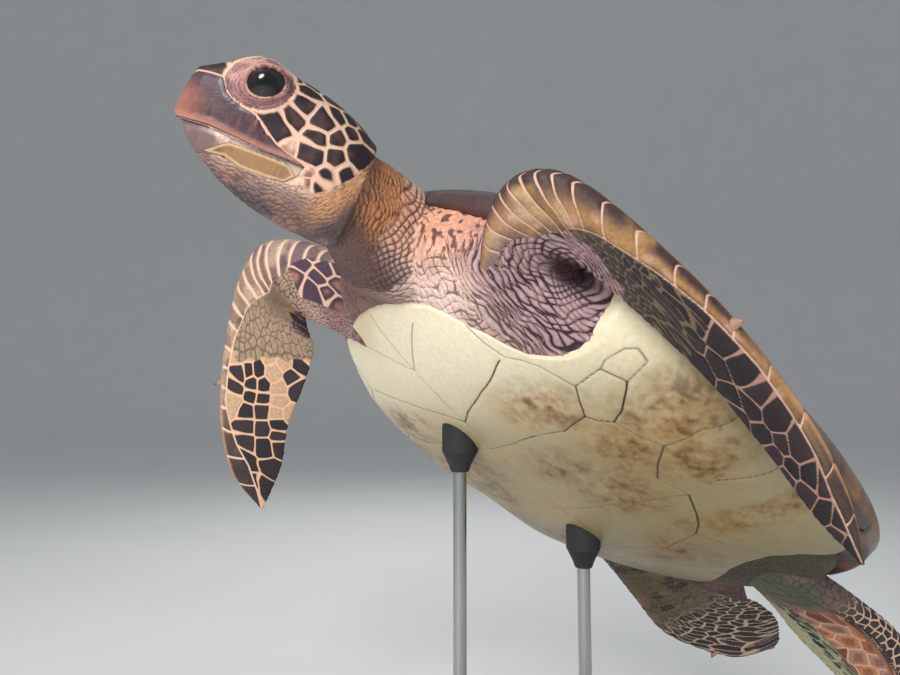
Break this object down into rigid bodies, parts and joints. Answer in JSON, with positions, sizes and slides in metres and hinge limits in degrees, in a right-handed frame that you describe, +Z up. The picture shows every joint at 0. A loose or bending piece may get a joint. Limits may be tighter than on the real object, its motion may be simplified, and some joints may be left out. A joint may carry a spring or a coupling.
{
  "type": "green sea turtle model on a stand",
  "caption": "Life-size still model of a young green sea turtle swimming head up with bent flippers, held over a flat base by slender steel rods with cups under the belly.",
  "frame": {"origin": "on the floor under the middle of the turtle's shell, on the underside of the display base, 20 mm behind that base's middle", "axes": "+Z up, +X towards the turtle's head, +Y to its left"},
  "size_m": [0.6925, 0.4847, 0.6298],
  "materials": {
    "carapace": "satin, brown with lighter streaks",
    "plastron": "satin, pale cream with thin brown seams",
    "skin": "matt, wrinkled, pinkish cream and grey brown",
    "scales": "satin, dark scales with pale seams",
    "beak": "satin horn, purple brown with pinkish streaks",
    "eye": "wet, glossy black",
    "claw": "satin horn",
    "stand_base": "matt black paint",
    "stand_rod": "brushed"
  },
  "bodies": {
    "root": {"carapace": "carapace", "eye_left": "eye", "eye_right": "eye", "front_arm_left": "skin", "front_arm_right": "skin", "front_claw_left": "claw", "front_claw_right": "claw", "front_flipper_left": "scales", "front_flipper_right": "scales", "head": "scales", "hips": "skin", "lower_beak": "beak", "neck": "skin", "plastron": "plastron", "rear_claw_left": "claw", "rear_claw_right": "claw", "rear_flipper_left": "scales", "rear_flipper_right": "scales", "rear_thigh_left": "skin", "rear_thigh_right": "skin", "shoulders": "skin", "stand_base": "stand_base", "stand_cup_front": "stand_base", "stand_cup_rear": "stand_base", "stand_rod_front": "stand_rod", "stand_rod_rear": "stand_rod", "tail": "skin", "upper_beak": "beak"}
  },
  "joints": []
}
